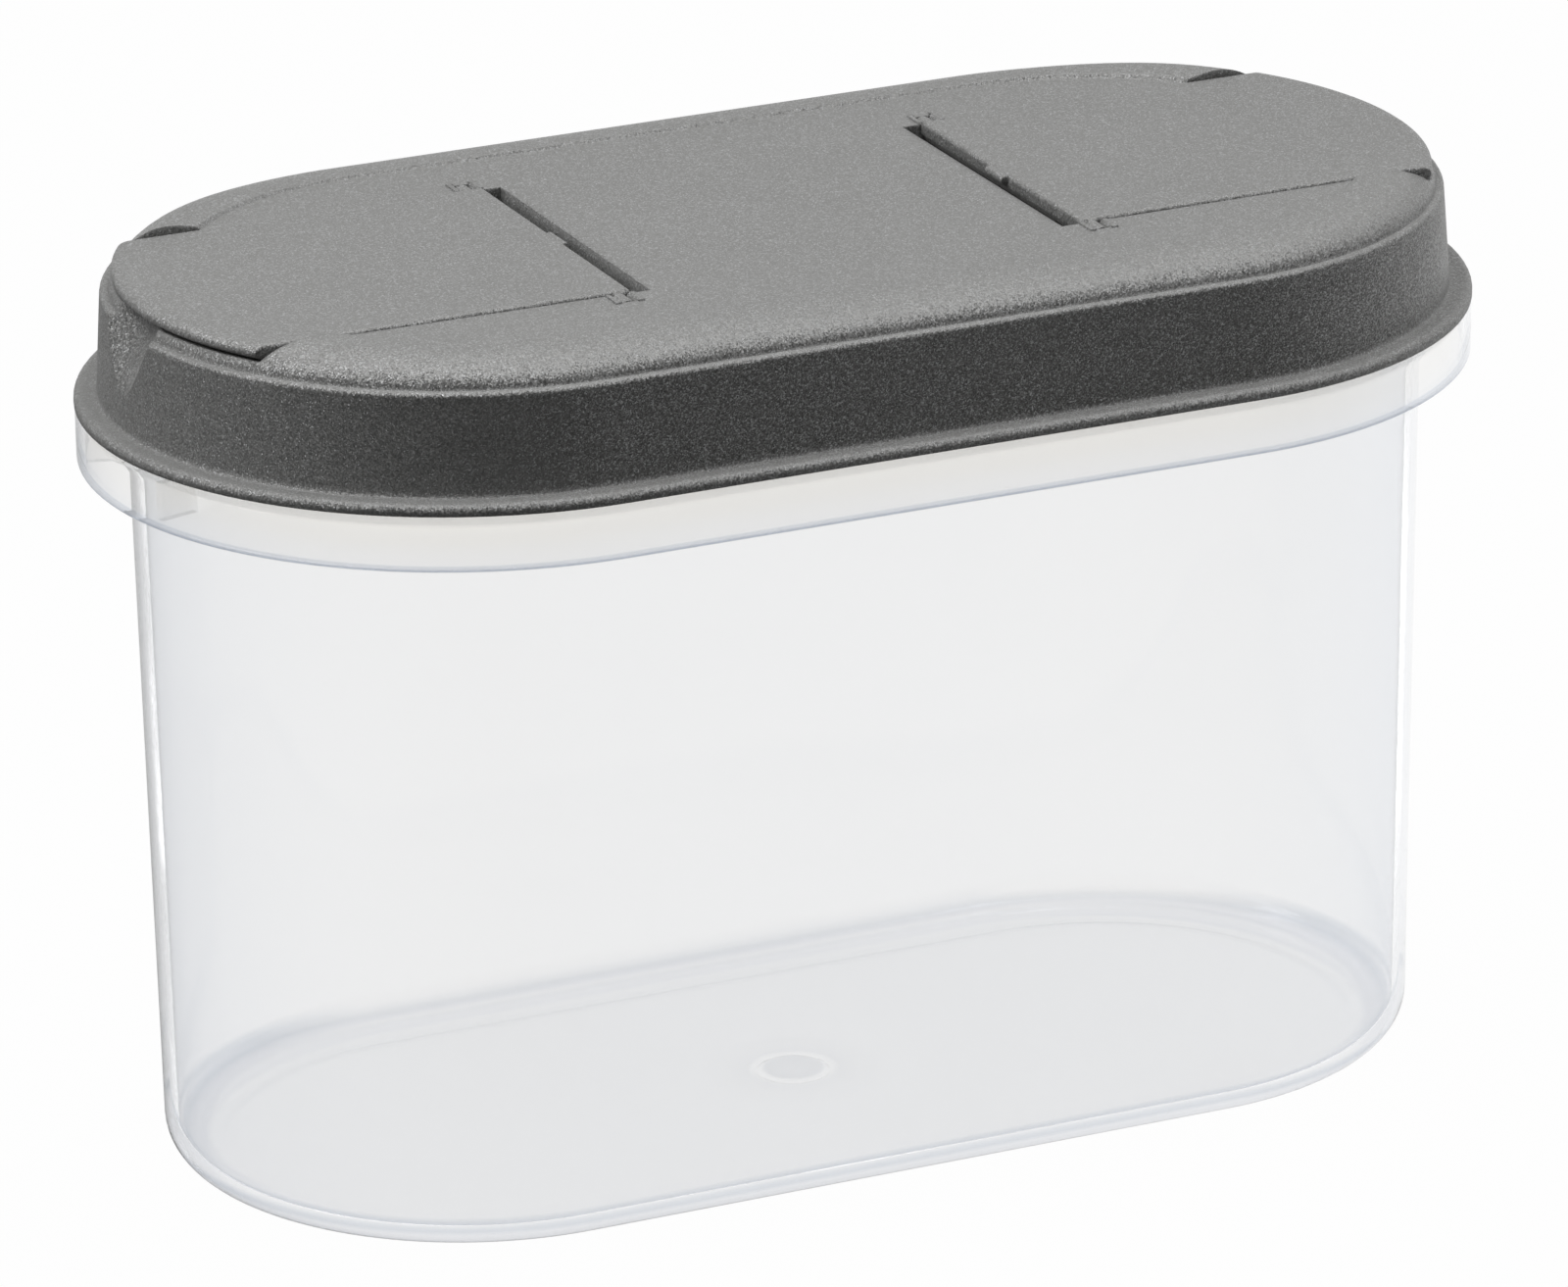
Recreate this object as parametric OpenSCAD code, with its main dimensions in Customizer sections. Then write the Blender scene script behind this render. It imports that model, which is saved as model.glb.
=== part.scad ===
// Cereal keeper: clear oblong tub, push-on lid and a flip-up pouring flap at each end of the lid.
// Millimetres. Z up, X along the tub, origin on the underside at the middle of the tub.
// Every oblong form is one section (radius, height) swept round two half circles and two straights.

/* [Overall] */
// Length over the lid's flange
length = 190; // [170:1:230]
// Width over the lid's flange
width = 102; // [98:1:112]

/* [Tub] */
// Height of the collar's top face, where the lid rests
collar_z = 103.5; // [60:1:200]
// Wall thickness
wall = 1.8; // [1.2:0.1:2.6]
// Floor thickness
floor_t = 2.2; // [2:0.1:4]
// How far each wall leans in from collar to base
taper = 2.3; // [0.5:0.1:4]
// How much smaller the body's end radius is than the neck's
body_slim = 0.6; // [0.3:0.1:1]
// How far the body's end centres stand outside the neck's
body_shift = 1.0; // [0.5:0.1:1.2]
// Radius between wall and underside
base_round = 5.2; // [4:0.1:9]
// Depth of the shallow recess under the floor
foot_recess = 0.8; // [0.3:0.1:1]
// Width of the ring the tub stands on
foot_w = 2; // [1.5:0.5:5]
// Radius of the round gate well under the floor
gate_r = 9.75; // [6:0.25:14]
// Radius of the dimple in the middle of the gate well
dimple_r = 5.2; // [3:0.1:6]
// Depth of the gate well, and of the dimple below it
gate_depth = 0.25; // [0.1:0.05:0.3]
// How far the collar stands out from the wall
collar_reach = 6.7; // [5:0.1:7.5]
// Thickness of the collar's top plate
collar_t = 1.6; // [1.2:0.1:2.4]
// Height of the collar's hanging skirt, top plate included
skirt_h = 7.4; // [5:0.1:12]
// Thickness of the skirt
skirt_t = 1.2; // [0.8:0.1:1.8]
// Thickness of the webs between skirt and wall
web_t = 1.2; // [0.8:0.1:2]
// Angle of the webs from the tub's long middle line
web_angle = 15; // [8:1:40]
// Height of the neck above the collar
neck_h = 8; // [5:0.5:8.5]

/* [Lid] */
// Height of the flat top panel above the collar
lid_h = 18.1; // [16:0.1:26]
// Thickness of the lid's side wall
lid_wall = 1.6; // [1.2:0.1:2]
// Thickness of the top panel
panel_t = 1.8; // [1.4:0.1:2.4]
// Thickness of the flange
flange_t = 1.4; // [1.3:0.1:2.2]
// How far the flange stands out from the lid's wall
flange_reach = 3; // [2:0.1:4]
// Radius along the flange's upper edge
flange_round = 0.9; // [0.4:0.1:1]
// How far the lid's wall leans in from flange to ledge
lid_taper = 0.8; // [0.3:0.1:1.5]
// Width of the rounded border round the top panel, ledge included
border_w = 10.7; // [9.5:0.1:12]
// Height of the border above the panel
border_h = 0.45; // [0.2:0.05:1]
// Depth of the ledge below the panel
ledge_drop = 3.2; // [2.6:0.1:4.5]
// Width of the ledge
ledge_w = 1.1; // [0.8:0.1:1.6]
// Thickness of the sealing rim that plugs the neck
rim_t = 1.2; // [0.8:0.1:1.8]
// How far the sealing rim reaches down inside the neck
rim_lap = 2.2; // [1:0.1:4]

/* [Flaps] */
// Width of a flap
flap_w = 48.2; // [40:0.2:52]
// Thickness of a flap
flap_t = 1.8; // [1.4:0.1:2.2]
// How far a flap's top stands above the panel
flap_rise = 0.3; // [0:0.05:0.4]
// Radius along the top edges of a flap's sides
flap_edge = 0.6; // [0.3:0.1:0.8]
// How far a flap's end stays inside the lid's wall
flap_setback = 1.6; // [1:0.1:2.4]
// Distance from the lid's middle to a hinge axis
hinge_x = 33.3; // [30:0.1:36]
// How far a flap reaches past its hinge axis
hinge_lap = 1.7; // [1.2:0.1:2]
// Radius of the hinge rod under a flap's edge
rod_r = 1.6; // [1.4:0.05:1.7]
// Radius of the pins at the rod's ends
pin_r = 1.2; // [1:0.05:1.3]
// Length of the pin at each end of the rod
pin_l = 3.2; // [2.4:0.1:4]
// Length of the stop nub on the rod
nub_l = 5.3; // [3:0.1:8]
// Width of the slot beside a flap's hinge edge
slot_w = 2.6; // [2.2:0.1:3.5]
// Width of the raised lips beside each pin
lip_w = 0.75; // [0.5:0.05:1.1]
// Length of the lips
lip_l = 3.5; // [2:0.1:4]
// Height of the lips above the panel
lip_h = 0.25; // [0.1:0.05:0.5]
// Width of a pouring mouth
mouth_w = 39.6; // [30:0.2:42]
// Solid floor between mouth and lid edge at the ends
mouth_margin = 8.9; // [8:0.1:12]
// How far the plug rib hangs below a flap
plug_d = 2.5; // [2:0.1:4]
// Thickness of the plug rib
plug_t = 1.2; // [0.8:0.1:1.6]

/* [Finger scoops] */
// Depth of the scoop's tip below the panel
scoop_drop = 12; // [9:0.5:13]
// Depth of the scoop into the wall at the ledge
scoop_depth = 4.4; // [3:0.1:5]
// Thickness of the wall behind the scoop
scoop_back = 1.3; // [1:0.1:1.6]

/* [Clearances] */
// Between the neck's bead and the lid's wall
neck_gap = 0.3; // [0.2:0.05:0.5]
// Between the sealing rim and the neck's inside
rim_gap = 0.25; // [0.15:0.05:0.4]
// Round the edge of a flap and under it
flap_gap = 0.3; // [0.2:0.05:0.4]
// Between a hinge pin and its bearing
pin_gap = 0.06; // [0.04:0.01:0.1]
// Between a plug rib and its mouth
plug_gap = 0.4; // [0.35:0.05:0.6]
// Between a collar's edge and the flange's edge above it
flange_lip = 0.1; // [0:0.05:0.3]

/* [Hidden] */
$fn = 60;
CLEAR = [0.86, 0.89, 0.92, 0.35];
GREY = [0.36, 0.36, 0.35];
over = 1;

half = (length - width) / 2;
flange_r = width / 2;
panel_z = collar_z + lid_h;
flange_z = collar_z + flange_t;

// Tub radii, all measured from the centre line of the sweep
collar_r = flange_r - flange_lip;
plate_z = collar_z - collar_t;
wall_top_r = collar_r - collar_reach;
body_top_r = wall_top_r - body_slim;
base_r = body_top_r - taper;
lean = atan(taper / plate_z);
neck_z = collar_z + neck_h;
neck_in_r = wall_top_r - wall;
skirt_z = collar_z - skirt_h;
neck_round = 0.42 * wall;
edge_r = 0.4;
function wall_r(z) = base_r + z * tan(lean);

// Lid radii
lid_r = flange_r - flange_reach;
lid_top_r = lid_r - lid_taper;
ledge_z = panel_z - ledge_drop;
ledge_r = lid_top_r - ledge_w;
step_r = lid_top_r - border_w;
shoulder_r = 0.6;
foot_fillet = 0.25;
function lid_wall_r(z) = lid_r - lid_taper * (z - flange_z) / (ledge_z - flange_z);
rim_r = neck_in_r - rim_gap;
rim_z = neck_z - rim_lap;

// Flap places
flap_r = lid_top_r - flap_setback;
flap_z = panel_z + flap_rise;
pan_z = flap_z - flap_t - flap_gap;
pan_floor = 1.5;
rod_z = flap_z - rod_r;
nub_r = 0.65;
nub_reach = hinge_lap + 0.4;
nub_angle = 157;
trough_wall = 1.4;
trough_x0 = hinge_x - hinge_lap - slot_w;
trough_x1 = hinge_x + rod_r + 1.2;
trough_z = rod_z - nub_reach - nub_r - 0.7;
mouth_r = lid_top_r - mouth_margin;
mouth_x = hinge_x + 13.2;
rim_round_w = 2.2;
rim_round_h = 1.0;

// Pin bearings: a bore that is open upwards through a throat a little narrower than the pin
bore_r = pin_r + pin_gap;
snap_w = 1.7 * pin_r;
throat_z = rod_z + 0.8 * pin_r;
lead_in = 0.2;
pin_end = flap_w / 2 + pin_l;

// Scoops: a cone whose wall cuts in by scoop_depth from its tip up to the ledge
tip_z = panel_z - scoop_drop;
tip_r = 5.3;
scoop_slope = scoop_depth / (scoop_drop - ledge_drop);

// Points along an elliptical arc
function arc(cx, cy, rx, ry, a0, a1, n) =
    [for (i = [0:n]) let (a = a0 + (a1 - a0) * i / n) [cx + rx * cos(a), cy + ry * sin(a)]];

// Sweeps a section (radius, height) round the oblong, with the end centres moved out by shift
module oblong(shift = 0) {
    for (side = [0, 180])
        rotate([0, 0, side]) translate([half + shift, 0, 0]) rotate([0, 0, -90])
            rotate_extrude(angle = 180) children();
    for (side = [0, 1])
        mirror([0, side, 0]) rotate([90, 0, 90])
            linear_extrude(height = 2 * (half + shift), center = true) children();
}

// The same at both ends: children are drawn for the +X end
module both_ends() {
    for (side = [0, 180]) rotate([0, 0, side]) children();
}

// Outside of the tub's body, filled
function body_section() =
    let (flat_r = base_r + base_round * tan(lean) - base_round / cos(lean))
    concat(
        [[0, foot_recess], [flat_r - foot_w - foot_recess, foot_recess], [flat_r - foot_w, 0]],
        arc(flat_r, base_round, base_round, base_round, -90, -lean, 9),
        [[body_top_r, plate_z], [body_top_r, plate_z + collar_t / 2], [0, plate_z + collar_t / 2]]);

// Inside of the body
function body_room() =
    let (in_round = max(base_round - wall, 0.6),
         in_z = floor_t + in_round,
         in_r = wall_r(in_z) - (wall + in_round) / cos(lean))
    concat(
        [[0, floor_t]],
        arc(in_r, in_z, in_round, in_round, -90, -lean, 8),
        [[body_top_r - wall, plate_z], [0, plate_z]]);

// Outside of collar, skirt and neck, filled
function neck_section() =
    let (bead_z = neck_z - 2.2,
         bead_r = lid_wall_r(bead_z) - lid_wall - neck_gap)
    concat(
        [[0, plate_z], [collar_r - skirt_t, plate_z], [collar_r - skirt_t, skirt_z]],
        [[collar_r, skirt_z]],
        arc(collar_r - edge_r, collar_z - edge_r, edge_r, edge_r, 0, 90, 3),
        [[wall_top_r, collar_z], [wall_top_r, bead_z - 1.4]],
        arc(bead_r - 0.5, bead_z, 0.5, 0.7, -60, 60, 4),
        [[wall_top_r, bead_z + 1.2]],
        arc(wall_top_r - neck_round, neck_z - neck_round, neck_round, neck_round, 0, 90, 4),
        [[0, neck_z]]);

// Inside of the neck, flared at the top and narrowed to a cone at the bottom
function neck_room() = concat(
    [[0, plate_z - 1.5], [neck_in_r - 1, plate_z - 1.5], [neck_in_r, plate_z]],
    arc(neck_in_r + neck_round, neck_z - neck_round, neck_round, neck_round, 180, 90, 4),
    [[neck_in_r + neck_round, neck_z + over], [0, neck_z + over]]);

module skirt_webs() {
    for (a = [-web_angle, web_angle])
        translate([half, 0, 0]) rotate([0, 0, a])
            translate([wall_top_r - wall / 2, -web_t / 2, skirt_z + 0.8])
                cube([collar_reach - skirt_t / 2 + wall / 2, web_t, skirt_h - 0.8 - collar_t / 2]);
}

module gate_well() {
    translate([0, 0, foot_recess - over]) {
        cylinder(h = over + gate_depth, r = gate_r);
        cylinder(h = over + 2 * gate_depth, r = dimple_r);
    }
}

module container() {
    color(CLEAR) difference() {
        union() {
            oblong(body_shift) polygon(body_section());
            oblong() polygon(neck_section());
            both_ends() skirt_webs();
        }
        oblong(body_shift) polygon(body_room());
        oblong() polygon(neck_room());
        gate_well();
    }
}

function lid_skin() = concat(
    [[0, panel_z], [step_r, panel_z], [step_r + 0.3, panel_z + border_h]],
    arc(step_r + 1, ledge_z, ledge_r - step_r - 1, ledge_drop + border_h, 90, 0, 14),
    arc(lid_top_r - shoulder_r, ledge_z - shoulder_r, shoulder_r, shoulder_r, 90, 0, 5),
    arc(lid_r + foot_fillet, flange_z + foot_fillet, foot_fillet, foot_fillet, 180, 270, 5),
    arc(flange_r - flange_round, flange_z - flange_round, flange_round, flange_round, 90, 0, 6),
    [[flange_r, collar_z]]);

module lid_solid() {
    oblong() polygon(concat(lid_skin(), [[0, collar_z]]));
}

module lid_hollow() {
    in_r = ledge_r - lid_wall;
    oblong() polygon(concat(
        [[0, collar_z - over], [lid_r - lid_wall, collar_z - over], [lid_r - lid_wall, flange_z],
         [lid_wall_r(ledge_z - 3) - lid_wall, ledge_z - 3], [in_r, ledge_z - 1.2]],
        arc(step_r + 1, ledge_z, in_r - step_r - 1, ledge_drop - panel_t, 0, 90, 8),
        [[0, panel_z - panel_t]]));
}

// A flap's outline, grown or shrunk all round, for the +X end
module flap_outline(grow, x0 = hinge_x) {
    intersection() {
        translate([half, 0]) circle(r = flap_r + grow);
        translate([x0 - grow, -flap_w / 2 - grow]) square([length, flap_w + 2 * grow]);
    }
}

module mouth_outline(grow) {
    intersection() {
        translate([half, 0]) circle(r = mouth_r + grow);
        translate([mouth_x - grow, -mouth_w / 2 - grow]) square([length, mouth_w + 2 * grow]);
    }
}

// Material under a flap: floor of its recess and the block that holds trough and bearings
module flap_bed() {
    translate([0, 0, pan_z - pan_floor]) linear_extrude(height = pan_floor + 0.4)
        flap_outline(flap_gap + pan_floor);
    translate([trough_x0 - trough_wall, -pin_end - trough_wall, trough_z - trough_wall])
        cube([trough_x1 - trough_x0 + 2 * trough_wall, 2 * (pin_end + trough_wall),
              panel_z - panel_t / 2 - trough_z + trough_wall]);
}

// Slot above a pin's bore: straight throat, then a lead-in that widens to the top
module snap_mouth() {
    top = panel_z + lip_h + over;
    widen = lead_in * (top - throat_z) / (panel_z - throat_z);
    translate([hinge_x, 0, 0]) rotate([90, 0, 0])
        linear_extrude(height = 2 * pin_end + 0.6, center = true) polygon([
            [-snap_w / 2, rod_z], [snap_w / 2, rod_z], [snap_w / 2, throat_z],
            [snap_w / 2 + widen, top], [-snap_w / 2 - widen, top], [-snap_w / 2, throat_z]]);
}

// Raised lips on the panel beside the pins
module pin_lips() {
    inner = snap_w / 2 + lead_in;
    for (side = [-1, 1])
        for (end = [-1, 1])
            translate([hinge_x + side * (inner + lip_w / 2) - lip_w / 2 - (side > 0 ? 0.1 : 0),
                       end * (flap_w / 2 + flap_gap + 0.2 + lip_l / 2) - lip_l / 2,
                       panel_z - 0.5])
                cube([lip_w + 0.1, lip_l, lip_h + 0.5]);
}

// Everything cut away for a flap: recess, trough, pin bearings and pouring mouth
module flap_room() {
    translate([0, 0, pan_z]) linear_extrude(height = panel_z - pan_z + over)
        flap_outline(flap_gap);
    translate([trough_x0, -flap_w / 2 - flap_gap, trough_z])
        cube([trough_x1 - trough_x0, flap_w + 2 * flap_gap, panel_z - trough_z + over]);
    translate([hinge_x, 0, rod_z]) rotate([90, 0, 0])
        cylinder(h = 2 * pin_end + 0.6, r = bore_r, center = true);
    snap_mouth();
    translate([0, 0, pan_z - pan_floor - over]) linear_extrude(height = pan_floor + 2 * over)
        mouth_outline(0);
}

// Finger scoop in the end wall, for the +X end
module scoop(grow) {
    translate([half + lid_wall_r(tip_z) + tip_r, 0, tip_z - over])
        cylinder(h = scoop_drop + 2 * over, r1 = tip_r - scoop_slope * over + grow,
                 r2 = tip_r + scoop_slope * (scoop_drop + over) + grow);
}

module scoop_backing() {
    intersection() {
        lid_solid();
        scoop(scoop_back);
        translate([half, -width / 2, neck_z + neck_gap]) cube([length, width, lid_h]);
    }
}

module sealing_rim() {
    oblong() polygon([[rim_r - rim_t, panel_z - panel_t / 2], [rim_r, panel_z - panel_t / 2],
                      [rim_r, rim_z + 1], [rim_r - 0.5, rim_z], [rim_r - rim_t, rim_z]]);
}

module lid() {
    color(GREY) difference() {
        union() {
            difference() {
                lid_solid();
                lid_hollow();
            }
            intersection() {
                lid_solid();
                both_ends() flap_bed();
            }
            sealing_rim();
            both_ends() scoop_backing();
            both_ends() pin_lips();
        }
        both_ends() flap_room();
        both_ends() scoop(0);
    }
}

// Section across a flap's width; its sides carry on upwards so that it only trims the plate
function side_section() =
    let (w = flap_w / 2, e = flap_edge, run = 3)
    concat(
        [[-w, -2 * flap_t], [w, -2 * flap_t]],
        arc(w - e, -e, e, e, 0, 72, 4),
        [[w - e + e * cos(72) - run * sin(72), -e + e * sin(72) + run * cos(72)],
         [e - w - e * cos(72) + run * sin(72), -e + e * sin(72) + run * cos(72)]],
        arc(e - w, -e, e, e, 108, 180, 4));

// Section along a flap: rounded hinge edge, trimming the plate in the same way
function edge_section() =
    let (x = hinge_x - hinge_lap, e = flap_edge, run = 3)
    concat(
        [[length, -2 * flap_t], [length, -e + e * sin(72) + run * cos(72)],
         [x + e - e * cos(72) + run * sin(72), -e + e * sin(72) + run * cos(72)]],
        arc(x + e, -e, e, e, 108, 180, 4),
        [[x, -2 * flap_t]]);

// Plate with rounded end, cut from a disc whose rim is rounded
module flap_plate() {
    intersection() {
        translate([half, 0, flap_z]) rotate_extrude() polygon(concat(
            [[0, -flap_t], [flap_r - 0.5, -flap_t], [flap_r, -flap_t + 0.4]],
            arc(flap_r - rim_round_w, -rim_round_h, rim_round_w, rim_round_h, 0, 90, 7),
            [[0, 0]]));
        translate([0, 0, flap_z]) rotate([90, 0, 90])
            linear_extrude(height = length) polygon(side_section());
        translate([0, width / 2, flap_z]) rotate([90, 0, 0])
            linear_extrude(height = width) polygon(edge_section());
    }
}

module plug_rib() {
    translate([0, 0, flap_z - flap_t - plug_d]) linear_extrude(height = plug_d + 0.4) difference() {
        mouth_outline(-plug_gap);
        mouth_outline(-plug_gap - plug_t);
    }
}

module flap_body() {
    flap_plate();
    plug_rib();
    translate([hinge_x, 0, rod_z]) {
        rotate([90, 0, 0]) cylinder(h = flap_w - 2 * flap_edge, r = rod_r - 0.05, center = true);
        rotate([90, 0, 0]) cylinder(h = 2 * pin_end, r = pin_r, center = true);
        rotate([0, -nub_angle, 0]) translate([nub_reach, 0, 0]) rotate([90, 0, 0])
            cylinder(h = nub_l, r = nub_r, center = true);
    }
}

module right_flap() {
    color(GREY) flap_body();
}

module left_flap() {
    color(GREY) rotate([0, 0, 180]) flap_body();
}

container();
lid();
left_flap();
right_flap();
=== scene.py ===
"""Clear oblong cereal keeper with a grey flip-flap lid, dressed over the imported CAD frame."""
import math

import bmesh
import bpy
from mathutils import Matrix, Vector


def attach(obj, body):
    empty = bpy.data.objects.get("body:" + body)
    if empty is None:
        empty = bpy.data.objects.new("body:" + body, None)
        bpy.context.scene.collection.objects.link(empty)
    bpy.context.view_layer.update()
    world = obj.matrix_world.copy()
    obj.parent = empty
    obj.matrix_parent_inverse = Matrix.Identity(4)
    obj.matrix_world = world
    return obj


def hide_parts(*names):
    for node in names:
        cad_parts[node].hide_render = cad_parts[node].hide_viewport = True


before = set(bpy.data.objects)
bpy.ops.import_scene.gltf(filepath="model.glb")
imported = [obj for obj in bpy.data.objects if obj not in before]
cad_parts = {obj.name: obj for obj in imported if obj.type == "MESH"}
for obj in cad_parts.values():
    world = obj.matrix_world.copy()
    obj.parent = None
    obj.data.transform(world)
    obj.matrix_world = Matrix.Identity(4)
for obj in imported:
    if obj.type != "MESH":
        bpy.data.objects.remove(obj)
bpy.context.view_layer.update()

MM = 0.001
scene = bpy.context.scene

# Camera, solved from the photograph's outlines. Lengths in millimetres, angles in degrees.
PHOTO_W = 1600
SENSOR = 36.0
FOCAL_PX = 10692.0
AZIMUTH, ELEVATION, ROLL = -24.105, 19.991, -0.917
DISTANCE = 1380.35
TARGET = Vector((-0.28, 0.12, 61.08))

# Heights and radii shared with the CAD part, in millimetres. The plan is an oblong: two round
# ends, HALF from the middle at the lid, collar and neck, joined by straight sides.
HALF = 44.0
PANEL_Z, LEDGE_Z = 121.6, 118.4
PANEL_R, LEDGE_R = 36.5, 46.1
COLLAR_Z, PLATE_Z, SKIRT_Z, NECK_Z = 103.5, 101.9, 96.1, 111.5
COLLAR_R, SKIRT_T = 50.9, 1.2
NECK_R, WALL = 44.2, 1.8
FLOOR_Z, RECESS_Z = 2.2, 0.4

# The tub's drafted wall: end centre and end radius at its foot, and what each changes by the plate
FOOT_A, A_LOSS = 45.85, 1.55
FOOT_R, R_GAIN = 40.95, 3.05
FOOT_ROUND, INSIDE_ROUND = 5.2, 3.4

# The gate mark under the floor, as (radius, height): shallow well, groove and rim
GATE_ROWS = [(1.2, 0.62), (3.9, 0.66), (4.3, 0.62), (4.9, 0.30), (5.5, 0.50), (6.1, 0.52),
             (8.8, 0.5), (10.0, RECESS_Z)]

WEB_TURN, WEB_HALF, WEB_GAP = 15.0, 0.6, 0.03

# Grey plastic's colours, linear RGB
GREY_DARK, GREY_LIGHT = (0.232, 0.231, 0.225), (0.252, 0.251, 0.245)
FLAKE = (0.48, 0.485, 0.49)
FLAKE_TIP = 0.36

# Clear plastic's colours, linear RGB: seen square on and edge on, the edge-on one partly a bluish tint
# and partly painted shade; then the collar's warm tint, painted shade for the lines that the thick edges
# draw, and a painted highlight for the gate ring
CLEAR_FACE, CLEAR_EDGE_TINT_AND_SHADE = (0.965, 0.965, 0.965), (0.80, 0.83, 0.88)
COLLAR_TINT = (1.0, 0.99, 0.968)
LIP_PAINTED_SHADE = (0.66, 0.70, 0.77)
FOOT_PAINTED_SHADE = (0.88, 0.89, 0.92)
BASE_BAND_PAINTED_SHADE = (0.70, 0.74, 0.79)
GATE_PAINTED_SHADE = (0.79, 0.80, 0.82)
GATE_RING_PAINTED_HIGHLIGHT = (1.0, 1.0, 1.0)

FLOOR_GREY = 0.06
FLOOR_SEEN = 0.93
THROUGH_CLEAR = 0.72


def make_camera():
    az, el, roll = (math.radians(a) for a in (AZIMUTH, ELEVATION, ROLL))
    back = Vector((math.sin(az) * math.cos(el), -math.cos(az) * math.cos(el), math.sin(el)))
    level_right = (-back).cross(Vector((0, 0, 1))).normalized()
    level_up = level_right.cross(-back)
    right = math.cos(roll) * level_right + math.sin(roll) * level_up
    up = -math.sin(roll) * level_right + math.cos(roll) * level_up
    data = bpy.data.cameras.new("camera")
    data.sensor_width = SENSOR
    data.lens = FOCAL_PX / PHOTO_W * SENSOR
    data.clip_start, data.clip_end = 0.05, 20.0
    cam = bpy.data.objects.new("camera", data)
    scene.collection.objects.link(cam)
    turn = Matrix((right, up, back)).transposed().to_4x4()
    cam.matrix_world = Matrix.Translation((TARGET + back * DISTANCE) * MM) @ turn
    scene.camera = cam


# Shader helpers. Each takes and gives sockets; lengths in materials are in metres.
def new_material(name):
    mat = bpy.data.materials.new(name)
    mat.use_nodes = True
    tree = mat.node_tree
    tree.nodes.clear()
    out = tree.nodes.new("ShaderNodeOutputMaterial")
    return mat, tree, out


def node(tree, kind, **values):
    """A new node, with values for its sockets or its own settings."""
    made = tree.nodes.new(kind)
    for key, value in values.items():
        if key in made.inputs:
            made.inputs[key].default_value = value
        else:
            setattr(made, key, value)
    return made


def link(tree, a, b):
    tree.links.new(a, b)


def object_place(tree):
    return node(tree, "ShaderNodeTexCoord").outputs["Object"]


def axes(tree, vector):
    made = node(tree, "ShaderNodeSeparateXYZ")
    link(tree, vector, made.inputs[0])
    return [made.outputs[name] for name in "XYZ"]


def texture(tree, kind, where, **values):
    made = node(tree, kind, **values)
    link(tree, where, made.inputs["Vector"])
    return made


def ramp(tree, source, stops):
    """Grey level over a 0 to 1 source, by (position, level) stops."""
    made = tree.nodes.new("ShaderNodeValToRGB")
    elements = made.color_ramp.elements
    while len(elements) < len(stops):
        elements.new(0.5)
    for element, (pos, value) in zip(elements, stops):
        element.position = pos
        element.color = (value, value, value, 1)
    link(tree, source, made.inputs["Fac"])
    return made.outputs["Color"]


def span(tree, source, low, high, to_low=0.0, to_high=1.0):
    """The source's range from low to high, mapped and clamped to a new range."""
    made = node(tree, "ShaderNodeMapRange")
    limits = (("From Min", low), ("From Max", high), ("To Min", to_low), ("To Max", to_high))
    for key, value in limits:
        made.inputs[key].default_value = value
    link(tree, source, made.inputs["Value"])
    return made.outputs["Result"]


def maths(tree, operation, a, b=0.0):
    made = node(tree, "ShaderNodeMath", operation=operation)
    for socket, value in zip(made.inputs, (a, b)):
        if isinstance(value, (int, float)):
            socket.default_value = value
        else:
            link(tree, value, socket)
    return made.outputs[0]


def product(tree, first, *others):
    for other in others:
        first = maths(tree, "MULTIPLY", first, other)
    return first


def distance(tree, a, b):
    pair = node(tree, "ShaderNodeCombineXYZ")
    link(tree, a, pair.inputs["X"])
    link(tree, b, pair.inputs["Y"])
    made = node(tree, "ShaderNodeVectorMath", operation="LENGTH")
    link(tree, pair.outputs[0], made.inputs[0])
    return made.outputs["Value"]


def blend(tree, factor, a, b, mode="MIX"):
    """Colour mix of a and b, each a socket or an RGB triple."""
    made = node(tree, "ShaderNodeMix", data_type="RGBA", blend_type=mode)
    link(tree, factor, made.inputs[0])
    for socket, value in ((made.inputs[6], a), (made.inputs[7], b)):
        if isinstance(value, tuple):
            socket.default_value = (*value, 1)
        else:
            link(tree, value, socket)
    return made.outputs[2]


def mix_shaders(tree, factor, a, b):
    made = node(tree, "ShaderNodeMixShader")
    for socket, source in zip(made.inputs, (factor, a, b)):
        link(tree, source, socket)
    return made.outputs[0]


def grey_edge_radius(tree, x, y, z):
    """How round an edge is shaded: the flange's bead, the panel's edges, the slots beside the flaps."""
    bead = span(tree, z, 0.1058, 0.1064, 0.0013, 0.0002)
    panel = span(tree, z, 0.1170, 0.1180, 0.0002, 0.0007)
    inward = maths(tree, "ABSOLUTE", x)
    slot = product(tree, span(tree, inward, 0.0270, 0.0276),
                   span(tree, inward, 0.0298, 0.0306, 0.0024, 0.0),
                   span(tree, maths(tree, "ABSOLUTE", y), 0.0225, 0.0230, 1.0, 0.0))
    return maths(tree, "MAXIMUM", maths(tree, "MAXIMUM", bead, panel), slot)


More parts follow.
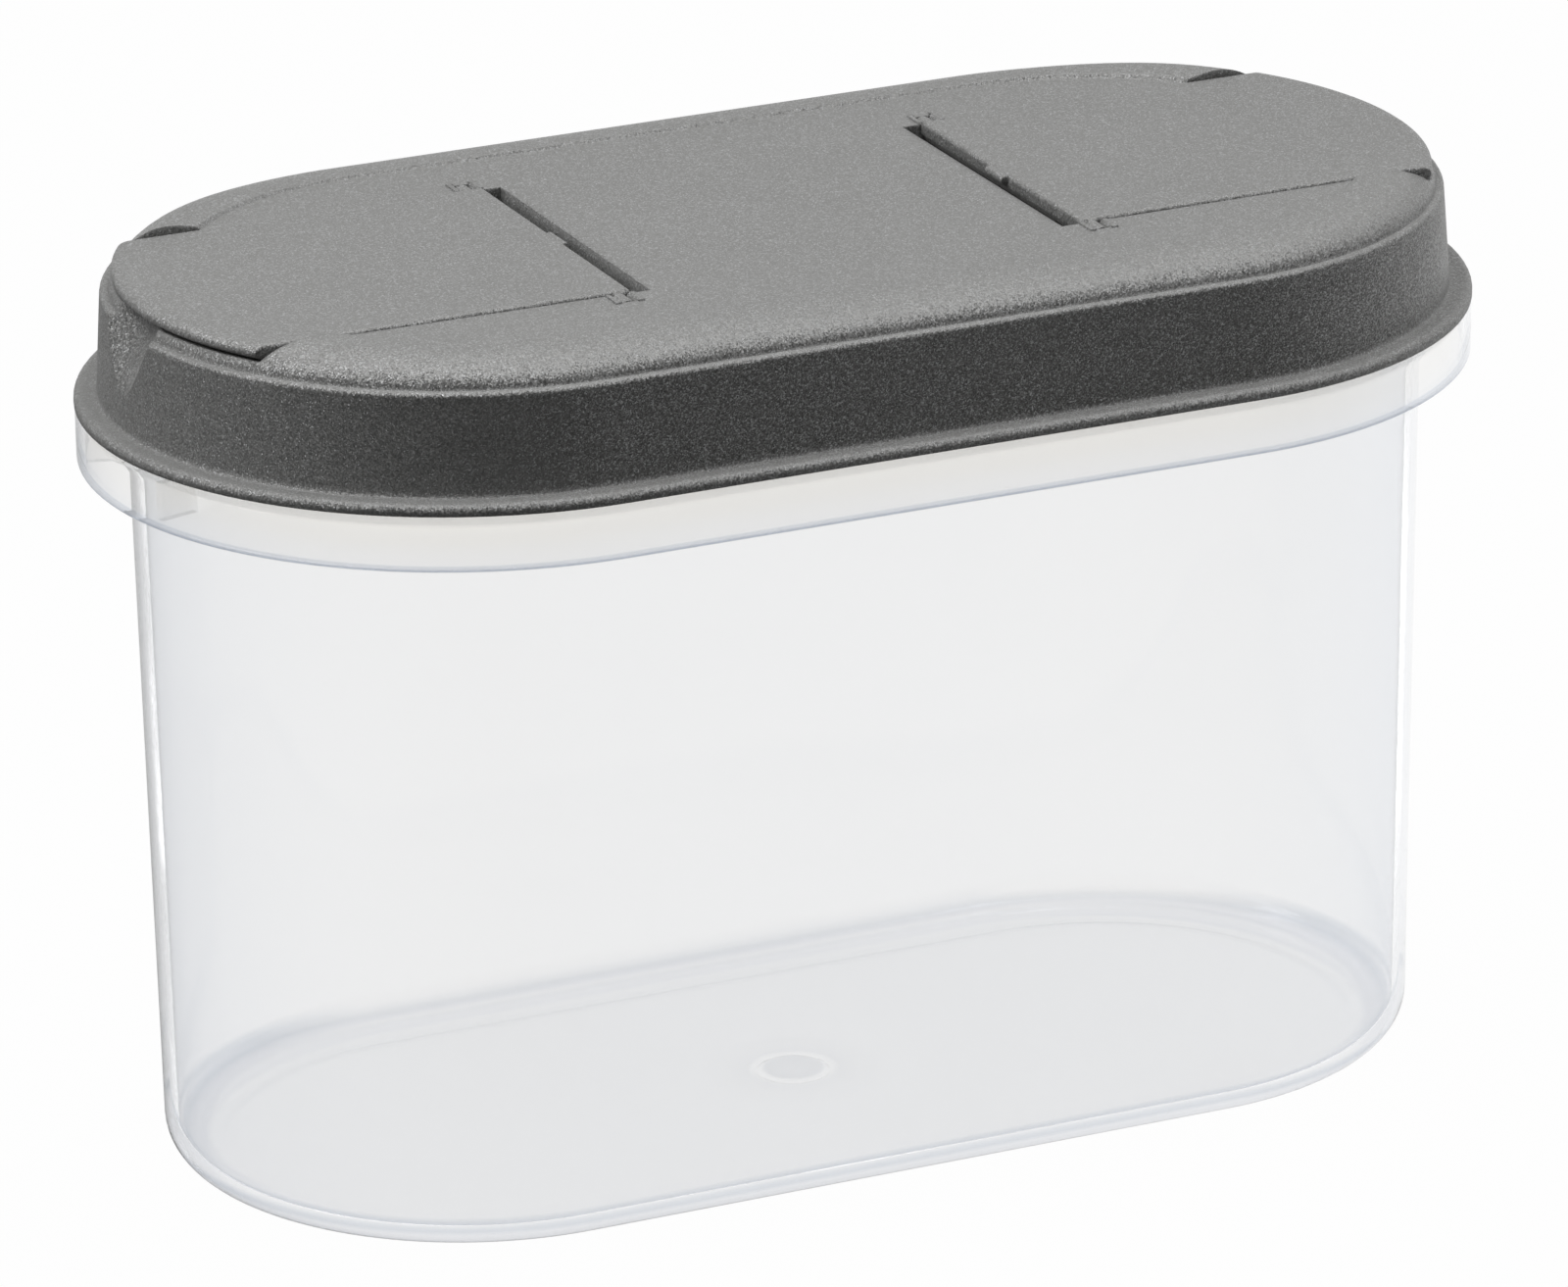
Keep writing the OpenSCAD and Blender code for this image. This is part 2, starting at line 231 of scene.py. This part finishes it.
def grey_material():
    """Grey plastic with fine metal flake, moulded with a matt spark-eroded grain."""
    mat, tree, out = new_material("grey_flake_plastic")
    where = object_place(tree)
    flake = texture(tree, "ShaderNodeTexVoronoi", where, Scale=6200.0, Randomness=1.0)
    lit = node(tree, "ShaderNodeSeparateColor")
    link(tree, flake.outputs["Color"], lit.inputs["Color"])
    chosen = ramp(tree, lit.outputs["Red"], [(0.0, 0.0), (0.75, 0.12), (1.0, 1.0)])
    cloud = texture(tree, "ShaderNodeTexNoise", where, Scale=60.0, Detail=3.0)
    tone = blend(tree, cloud.outputs["Fac"], GREY_DARK, GREY_LIGHT)
    colour = blend(tree, chosen, tone, FLAKE)
    # Each flake tips the gloss a little its own way
    tip = node(tree, "ShaderNodeVectorMath", operation="MULTIPLY_ADD")
    link(tree, flake.outputs["Color"], tip.inputs[0])
    tip.inputs[1].default_value = (2 * FLAKE_TIP,) * 3
    tip.inputs[2].default_value = (-FLAKE_TIP,) * 3
    bevel = node(tree, "ShaderNodeBevel")
    bevel.samples = 6
    link(tree, grey_edge_radius(tree, *axes(tree, where)), bevel.inputs["Radius"])
    tilted = node(tree, "ShaderNodeVectorMath", operation="ADD")
    link(tree, bevel.outputs["Normal"], tilted.inputs[0])
    link(tree, tip.outputs["Vector"], tilted.inputs[1])
    unit = node(tree, "ShaderNodeVectorMath", operation="NORMALIZE")
    link(tree, tilted.outputs["Vector"], unit.inputs[0])
    grain = texture(tree, "ShaderNodeTexNoise", where, Scale=2600.0, Detail=2.0)
    bump = node(tree, "ShaderNodeBump", Strength=0.3, Distance=0.00005)
    link(tree, grain.outputs["Fac"], bump.inputs["Height"])
    link(tree, unit.outputs["Vector"], bump.inputs["Normal"])
    skin = node(tree, "ShaderNodeBsdfPrincipled", Metallic=0.22, Roughness=0.44, IOR=1.5)
    link(tree, colour, skin.inputs["Base Color"])
    link(tree, bump.outputs["Normal"], skin.inputs["Normal"])
    link(tree, skin.outputs["BSDF"], out.inputs["Surface"])
    return mat


def clear_colour_and_painted_light(tree, x, y, z, gate, underside, halo):
    """The clear plastic's colour, its collar tint, and painted shade by place for the lines that its
    thick edges draw, with a painted highlight on the gate ring.
    """
    # Distance from the oblong's middle line, which is the end radius all round
    beyond = maths(tree, "MAXIMUM", maths(tree, "SUBTRACT", maths(tree, "ABSOLUTE", x), 0.0445), 0.0)
    radius = distance(tree, beyond, y)
    # Seen edge on the plastic turns bluish and darker: partly its tint through a longer path, partly
    # painted edge shade in place of the bending that it lacks
    edge = node(tree, "ShaderNodeLayerWeight", Blend=0.15)
    colour = blend(tree, edge.outputs["Facing"], CLEAR_FACE, CLEAR_EDGE_TINT_AND_SHADE)
    collar = span(tree, z, 0.0960, 0.1000)
    # Painted shade: a dark line along the skirt's lower lip
    lip = product(tree, span(tree, z, 0.0964, 0.0967, 1.0, 0.0), span(tree, radius, 0.0470, 0.0475))
    # Painted shade: a darker line on the foot's round, where the thick corner draws one
    # Only where the wall slants away from the eye, so that the far wall seen through it stays clean
    steep = node(tree, "ShaderNodeLayerWeight", Blend=0.5)
    slant = span(tree, steep.outputs["Facing"], 0.04, 0.26)
    foot = product(tree, span(tree, z, 0.0020, 0.0045, 1.0, 0.0),
                   span(tree, radius, 0.0362, 0.0372), slant)
    # Painted shade: a dark band low on the wall, across the thick corner at the base
    band = ramp(tree, span(tree, z, 0.0, 0.006),
                [(0.0, 0.0), (0.38, 0.0), (0.50, 1.0), (0.58, 0.9), (0.72, 0.0), (1.0, 0.0)])
    # Painted shade over the gate mark's well and groove
    dot = ramp(tree, gate, [(0.0, 0.8), (0.31, 1.0), (0.36, 0.0), (0.45, 0.0), (0.52, 0.4),
                            (0.80, 0.3), (1.0, 0.0)])
    for mask, tint_and_painted_shade in ((collar, COLLAR_TINT), (lip, LIP_PAINTED_SHADE), (foot, FOOT_PAINTED_SHADE),
                       (product(tree, band, slant), BASE_BAND_PAINTED_SHADE),
                       (product(tree, dot, underside), GATE_PAINTED_SHADE)):
        colour = blend(tree, mask, colour, tint_and_painted_shade, "MULTIPLY")
    # Painted highlight: the gate ring made white
    return blend(tree, halo, colour, GATE_RING_PAINTED_HIGHLIGHT)


def clear_material():
    """Clear moulded plastic that bends light little and reflects as plastic does, a trace hazy."""
    mat, tree, out = new_material("clear_plastic")
    where = object_place(tree)
    x, y, z = axes(tree, where)
    # The gate mark: 0 at the floor's middle to 1 at 12 mm, on the floor's underside alone
    gate = span(tree, distance(tree, x, y), 0.0, 0.012)
    underside = span(tree, z, 0.0010, 0.0014, 1.0, 0.0)
    # The gate ring: raised by the bump below, and given a painted highlight in the colour
    halo = ramp(tree, gate, [(0.0, 0.0), (0.33, 0.0), (0.38, 0.9), (0.42, 1.0), (0.47, 0.3),
                             (0.52, 0.0), (0.82, 0.3), (0.88, 0.0)])
    halo = product(tree, halo, underside)
    cloud = texture(tree, "ShaderNodeTexNoise", where, Scale=35.0, Detail=2.0).outputs["Fac"]
    clear = maths(tree, "SUBTRACT", span(tree, z, 0.0945, 0.0985, 0.985, 0.98),
                  product(tree, cloud, 0.01))
    ripple = texture(tree, "ShaderNodeTexNoise", where, Scale=22.0, Detail=1.0).outputs["Fac"]
    height = maths(tree, "ADD", product(tree, halo, 1.6), product(tree, ripple, 0.08))
    bump = node(tree, "ShaderNodeBump", Strength=1.0, Distance=0.0002)
    link(tree, height, bump.inputs["Height"])
    skin = node(tree, "ShaderNodeBsdfPrincipled", IOR=1.02)
    for socket, value in (("Coat Weight", 1.0), ("Coat Roughness", 0.03), ("Coat IOR", 1.5)):
        skin.inputs[socket].default_value = value
    link(tree, span(tree, cloud, 0.3, 0.7, 0.01, 0.03), skin.inputs["Roughness"])
    link(tree, clear_colour_and_painted_light(tree, x, y, z, gate, underside, halo), skin.inputs["Base Color"])
    link(tree, clear, skin.inputs["Transmission Weight"])
    link(tree, bump.outputs["Normal"], skin.inputs["Normal"])
    link(tree, skin.outputs["BSDF"], out.inputs["Surface"])
    return mat


def floor_material():
    """White where it is seen, also through the plastic, with a trace of shadow; else plain grey."""
    mat, tree, out = new_material("pale_floor")
    path = node(tree, "ShaderNodeLightPath")
    seen = maths(tree, "MAXIMUM", path.outputs["Is Camera Ray"], path.outputs["Is Transmission Ray"])
    # The gloss on the object mirrors the floor too, less of it in front and at the left
    x, y, _ = axes(tree, object_place(tree))
    mirrored = product(tree, span(tree, y, -0.35, -0.05, 0.06, 1.0),
                       span(tree, x, -0.08, 0.12, 0.3, 1.0), path.outputs["Is Glossy Ray"])
    seen = maths(tree, "MAXIMUM", seen, mirrored)
    pale = node(tree, "ShaderNodeBsdfDiffuse")
    pale.inputs["Color"].default_value = (FLOOR_GREY, FLOOR_GREY, FLOOR_GREY, 1)
    glow = node(tree, "ShaderNodeEmission", Strength=1.06)
    mixed = mix_shaders(tree, product(tree, seen, FLOOR_SEEN), pale.outputs[0], glow.outputs[0])
    link(tree, mixed, out.inputs["Surface"])
    return mat


def make_world():
    """White for the camera; else a studio that is dark in front, brighter at the sides and behind."""
    world = bpy.data.worlds.new("studio")
    world.use_nodes = True
    scene.world = world
    tree = world.node_tree
    tree.nodes.clear()
    out = tree.nodes.new("ShaderNodeOutputWorld")
    x, y, z = axes(tree, node(tree, "ShaderNodeTexCoord").outputs["Generated"])
    depth = ramp(tree, span(tree, y, -1, 1), [(0.0, 0.0), (0.2, 0.0), (0.45, 0.05), (1.0, 0.4)])
    sides = ramp(tree, span(tree, x, -1, 1), [(0.0, 0.05), (0.2, 0.0), (0.75, 0.0), (1.0, 1.0)])
    rising = ramp(tree, z, [(0.0, 0.7), (0.15, 1.0), (0.6, 0.8), (1.0, 0.7)])
    level = product(tree, maths(tree, "ADD", depth, sides), rising)
    path = node(tree, "ShaderNodeLightPath")
    through = product(tree, path.outputs["Is Transmission Ray"], THROUGH_CLEAR)
    soft = node(tree, "ShaderNodeBackground", Strength=1.0)
    link(tree, maths(tree, "MAXIMUM", level, through), soft.inputs["Color"])
    white = node(tree, "ShaderNodeBackground", Strength=1.0)
    white.inputs["Color"].default_value = (1, 1, 1, 1)
    mixed = mix_shaders(tree, path.outputs["Is Camera Ray"], soft.outputs[0], white.outputs[0])
    link(tree, mixed, out.inputs["Surface"])


def area_light(name, place, aim, size, size_y, power):
    data = bpy.data.lights.new(name, "AREA")
    data.shape = "RECTANGLE"
    data.size, data.size_y = size, size_y
    data.energy = power
    lamp = bpy.data.objects.new(name, data)
    scene.collection.objects.link(lamp)
    lamp.location = place
    lamp.rotation_mode = "QUATERNION"
    lamp.rotation_quaternion = (Vector(aim) - Vector(place)).to_track_quat("-Z", "Y")


def make_stage():
    grid = bmesh.new()
    bmesh.ops.create_grid(grid, x_segments=1, y_segments=1, size=4.0)
    mesh = bpy.data.meshes.new("floor")
    grid.to_mesh(mesh)
    grid.free()
    floor = bpy.data.objects.new("floor", mesh)
    scene.collection.objects.link(floor)
    floor.location.z = -0.0002
    mesh.materials.append(floor_material())
    area_light("overhead", (0, -0.03, 1.0), (0, -0.03, 0), 1.4, 0.46, 9.4)
    area_light("left", (-0.65, 0.2, 0.8), (0, 0, 0.1), 0.5, 0.7, 2.9)


def finish_piece(mesh, piece_name, body, material, node_name, sharp):
    work = bmesh.new()
    work.from_mesh(mesh)
    bmesh.ops.remove_doubles(work, verts=work.verts, dist=1e-6)
    for face in work.faces:
        face.smooth = True
    for edge in work.edges:
        if len(edge.link_faces) == 2:
            edge.smooth = edge.calc_face_angle(0.0) < math.radians(sharp)
    work.to_mesh(mesh)
    work.free()
    if "custom_normal" in mesh.attributes:
        mesh.attributes.remove(mesh.attributes["custom_normal"])
    piece = bpy.data.objects.new(piece_name, mesh)
    scene.collection.objects.link(piece)
    weigh = piece.modifiers.new("even_normals", "WEIGHTED_NORMAL")
    weigh.mode = "FACE_AREA"
    weigh.weight = 50
    weigh.keep_sharp = True
    mesh.materials.clear()
    mesh.materials.append(material)
    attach(piece, body)
    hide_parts(node_name)


def sag(co):
    """How the real lid is warped: panel low in the middle, border high at the ends, most at the back."""
    x, y, z = co
    below = LEDGE_Z - 1.5
    rise = min(max((z - below) / (PANEL_Z - below), 0.0), 1.0)
    r = math.hypot(max(abs(x) - HALF, 0.0), y)
    across = (r - PANEL_R) / (LEDGE_R - PANEL_R)
    crest = math.sin(math.pi * across) if 0 < across < 1 else 0.0
    middle = math.cos(math.pi * min(abs(x) / 160, 0.5)) ** 2
    end = math.exp(-((abs(x) - 77) / 16) ** 2)
    lift = -0.28 * middle + crest * end * (0.65 + 0.35 * math.tanh(y / 12))
    bow = -0.3 * middle * math.tanh(y / 15) * min(r / 40, 1.0)
    return Vector((x, y + rise * bow, z + rise * lift))


def dress(name, piece_name, body, material, warp=None):
    """A copy of a CAD node's shape, its shading smoothed over moulded rounds."""
    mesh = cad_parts[name].data.copy()
    mesh.name = piece_name
    if warp:
        for vertex in mesh.vertices:
            vertex.co = warp(vertex.co / MM) * MM
    finish_piece(mesh, piece_name, body, material, name, 28.0)


def arc(cx, cy, rx, ry, a0, a1, n):
    angles = [math.radians(a0 + (a1 - a0) * i / n) for i in range(n + 1)]
    return [(cx + rx * math.cos(a), cy + ry * math.sin(a)) for a in angles]


def corner(cx, cy, r, a0, a1, n):
    return arc(cx, cy, r, r, a0, a1, n)


def ring(r, z, a, n_arc=64, n_side=12):
    """Points round an oblong of end radius r whose end centres are a apart from the middle."""
    points = []
    for turn in (0, 1):
        for i in range(n_arc):
            t = math.pi * (i / n_arc - 0.5 + turn)
            points.append(Vector(((a if turn == 0 else -a) + r * math.cos(t), r * math.sin(t), z)))
        for i in range(n_side):
            x = a * (1 - 2 * i / n_side) * (1 if turn == 0 else -1)
            points.append(Vector((x, r if turn == 0 else -r, z)))
    return points


def body_a(z):
    return FOOT_A - A_LOSS * z / PLATE_Z


def body_r(z):
    return FOOT_R + R_GAIN * z / PLATE_Z


def rows(points, end=None):
    """Section rows (radius, height, end centre); without an end centre they follow the wall's."""
    return [(r, z, body_a(z) if end is None else end) for r, z in points]


def tub_section():
    """The tub's closed section, from the gate mark round its outside and back down the inside."""
    lean = math.atan(R_GAIN / PLATE_Z)
    degrees = math.degrees(lean)
    flat = body_r(0) + FOOT_ROUND * math.tan(lean) - FOOT_ROUND / math.cos(lean)
    in_z = FLOOR_Z + INSIDE_ROUND
    in_r = body_r(in_z) - (WALL + INSIDE_ROUND) / math.cos(lean)
    skirt_r = COLLAR_R - SKIRT_T
    bead = NECK_Z - 2.2
    foot_ring = [(flat - 4.4, RECESS_Z), (flat - 3.4, 0.34), (flat - 2.4, 0.06), (flat - 1.8, 0)]
    outside = (
        rows(GATE_ROWS, 0)
        + rows(foot_ring, body_a(0))
        + rows(corner(flat, FOOT_ROUND, FOOT_ROUND, -90, -degrees, 14))
        + rows([(body_r(z), z) for z in (8, 30, 70, 98)])
        + rows(corner(body_r(PLATE_Z) + 0.5, PLATE_Z - 0.5, 0.5, 180, 90, 4)))
    skirt = (
        corner(skirt_r - 0.4, PLATE_Z - 0.4, 0.4, 90, 0, 3)
        + [(skirt_r, SKIRT_Z + 0.3)]
        + corner(skirt_r + 0.3, SKIRT_Z + 0.3, 0.3, 180, 270, 3)
        + corner(COLLAR_R - 0.3, SKIRT_Z + 0.3, 0.3, 270, 360, 3)
        + corner(COLLAR_R - 0.4, COLLAR_Z - 0.4, 0.4, 0, 90, 4))
    neck = (
        [(NECK_R + 0.3, COLLAR_Z), (NECK_R, COLLAR_Z + 0.3), (NECK_R, bead - 1.4)]
        + arc(NECK_R + 1.2, bead, 0.5, 0.7, -60, 60, 4)
        + [(NECK_R, bead + 1.2)]
        + corner(NECK_R - 0.9, NECK_Z - 0.9, 0.9, 0, 180, 8)
        + [(NECK_R - WALL, PLATE_Z + 1.5)])
    inside = (
        rows([(body_r(z) - WALL, z) for z in (98, 70, 30, 8)])
        + rows(corner(in_r, in_z, INSIDE_ROUND, -degrees, -90, 10))
        + rows([(in_r - 4, FLOOR_Z), (12, FLOOR_Z)], body_a(0)))
    return outside + rows(skirt + neck, HALF) + inside


def web(work, side, turn):
    """One rib between skirt and wall, standing a hair off both."""
    corners = []
    angle = math.radians(WEB_TURN * turn)
    out = Vector((math.cos(angle), math.sin(angle), 0))
    across = Vector((-out.y, out.x, 0)) * WEB_HALF
    for z in (SKIRT_Z + 0.8, PLATE_Z - 0.02):
        wall = body_r(z) + (body_a(z) - HALF) * math.cos(angle)
        for r in (wall + WEB_GAP, COLLAR_R - SKIRT_T - WEB_GAP):
            for half in (-1, 1):
                p = Vector((HALF, 0, z)) + out * r + across * half
                corners.append(work.verts.new(Vector((p.x * side, p.y, p.z)) * MM))
    for face in ((0, 1, 3, 2), (4, 6, 7, 5), (0, 4, 5, 1), (2, 3, 7, 6), (0, 2, 6, 4), (1, 5, 7, 3)):
        work.faces.new([corners[i] for i in face])


def make_tub(material):
    """The tub swept anew, so that its round corners and its gate mark are smooth."""
    work = bmesh.new()
    loops = [[work.verts.new(p * MM) for p in ring(r, z, a)] for r, z, a in tub_section()]
    count = len(loops[0])
    for low, high in zip(loops, loops[1:]):
        for i in range(count):
            j = (i + 1) % count
            work.faces.new((low[i], low[j], high[j], high[i]))
    work.faces.new(list(reversed(loops[0])))
    work.faces.new(loops[-1])
    for side in (-1, 1):
        for turn in (-1, 1):
            web(work, side, turn)
    bmesh.ops.remove_doubles(work, verts=work.verts, dist=1e-6)
    bmesh.ops.dissolve_degenerate(work, edges=work.edges, dist=1e-7)
    bmesh.ops.recalc_face_normals(work, faces=work.faces)
    mesh = bpy.data.meshes.new("tub_shell")
    work.to_mesh(mesh)
    work.free()
    finish_piece(mesh, "tub_shell", "tub", material, "container", 40.0)


make_camera()
grey = grey_material()
clear = clear_material()
make_tub(clear)
dress("lid", "lid_moulding", "lid", grey, sag)
dress("left_flap", "left_pour_flap", "left_flap", grey)
dress("right_flap", "right_pour_flap", "right_flap", grey)

make_world()
make_stage()
scene.view_settings.view_transform = "Standard"
